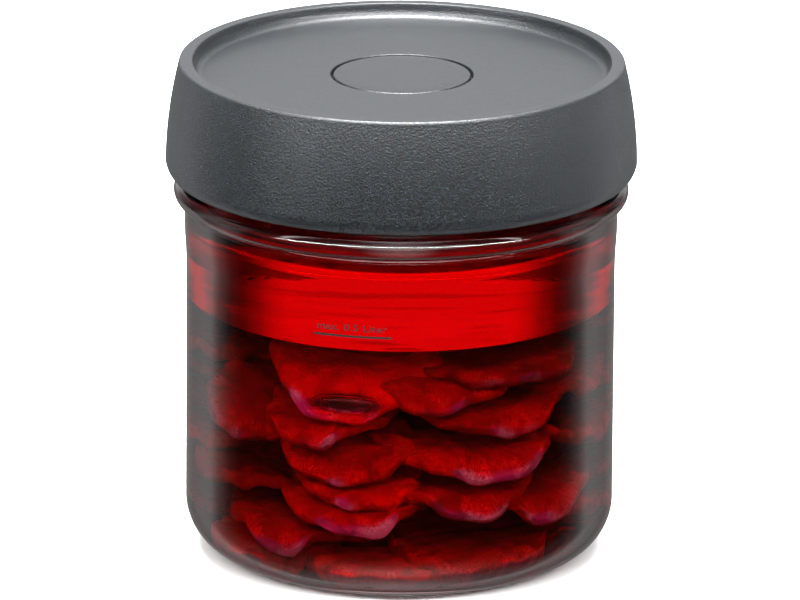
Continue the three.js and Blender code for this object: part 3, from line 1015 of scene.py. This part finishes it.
def white_room():
    """The light from each direction: a white backdrop, a bright strip at each side of it, a wide soft lamp
    with a narrow tube across it high above the front, a lamp overhead, and darkness elsewhere. The camera
    itself sees white all round."""
    world = bpy.data.worlds.new("white_room")
    world.use_nodes = True
    tree = world.node_tree
    add = node_adder(tree)

    def soft(value, start, end, most=1.0):
        """Rises from 0 to the most between start and end, without a corner."""
        return ramped(add, value, start, end, 0.0, most, "SMOOTHSTEP")

    def ramp(place, stops):
        """A level by place, straight between stops."""
        node = add("ShaderNodeValToRGB", Fac=maths(add, "MULTIPLY_ADD", place, 0.5, 0.5))
        elements = node.color_ramp.elements
        elements[0].position, elements[1].position = 0, 1
        for at, _ in stops[1:-1]:
            elements.new((at + 1) / 2)
        for element, (_, level) in zip(elements, stops):
            element.color = (level, level, level, 1)
        return node.outputs[0]

    def along(towards):
        """Cosine of the angle between the direction and another."""
        inputs = {"_0": direction, "_1": towards}
        return add("ShaderNodeVectorMath", {"operation": "DOT_PRODUCT"}, **inputs).outputs["Value"]

    def between(share, first, second):
        return add("ShaderNodeMix", {"data_type": "FLOAT"}, _0=share, _2=first, _3=second).outputs[0]

    path = add("ShaderNodeLightPath")
    direction = add("ShaderNodeTexCoord").outputs["Generated"]
    x, y, z = add("ShaderNodeSeparateXYZ", Vector=direction).outputs
    level_length = maths(add, "SQRT", maths(add, "SUBTRACT", 1.0, maths(add, "MULTIPLY", z, z)))
    behind = maths(add, "DIVIDE", y, maths(add, "MAXIMUM", level_length, 0.001))

    # below the horizon: the sides and back, dimmed for light that has passed the jar, and the floor
    shifted = maths(add, "ADD", behind, soft(x, 0.0, RIGHT_TO, RIGHT_SHIFT))
    dimmed = soft(behind, PASSED_FROM, PASSED_TO, PASSED_LOSS)
    loss = maths(add, "MULTIPLY", path.outputs["Is Transmission Ray"], dimmed)
    around = maths(add, "MULTIPLY", ramp(shifted, LOW_ROOM), maths(add, "SUBTRACT", 1.0, loss))
    lower = maths(add, "MAXIMUM", around, ramp(z, FLOOR_ROOM))

    # above it: the backdrop up to the ceiling, and the lamps
    low, high = np.cos(LAMP_ELEVATION), np.sin(LAMP_ELEVATION)
    facing = along((0, -low, high))
    beside = maths(add, "ABSOLUTE", along((0, high, low)))
    lamp = soft(facing, LAMP_EDGE, LAMP_INSIDE, LAMP_LIGHT)
    narrow = soft(beside, TUBE_HALF_WIDTH, 0.0, TUBE_LIGHT)
    wide = soft(facing, TUBE_END, TUBE_INSIDE)
    overhead = soft(z, OVERHEAD_FROM, OVERHEAD_TO, OVERHEAD_LIGHT)
    lamps = maths(add, "ADD", maths(add, "ADD", lamp, maths(add, "MULTIPLY", narrow, wide)), overhead)
    backdrop = maths(add, "MULTIPLY", ramp(behind, HIGH_ROOM), soft(z, CEILING_DARK, CEILING_LIT))
    upper = maths(add, "ADD", backdrop, lamps)

    light = between(soft(z, HORIZON_FROM, HORIZON_TO), lower, upper)
    seen = between(path.outputs["Is Camera Ray"], light, SEEN_WHITE)
    background = tree.nodes["Background"]
    background.inputs["Color"].default_value = (1, 1, 1, 1)
    tree.links.new(seen, background.inputs["Strength"])
    bpy.context.scene.world = world


white_room()

# %% [markdown]
# ## How the light is followed
# A path through this jar crosses six or eight surfaces, so it needs more bounces than a room scene.
# The plain Standard view keeps white white and the red as saturated as it is in the photograph.

scene = bpy.context.scene
scene.view_settings.view_transform = "Standard"
scene.cycles.max_bounces = 40
scene.cycles.transmission_bounces = 36
scene.cycles.glossy_bounces = 12
scene.cycles.diffuse_bounces = 4
scene.cycles.caustics_refractive = True
scene.cycles.caustics_reflective = True
scene.cycles.blur_glossy = 0.3
scene.cycles.sample_clamp_indirect = 6
scene.cycles.use_denoising = True
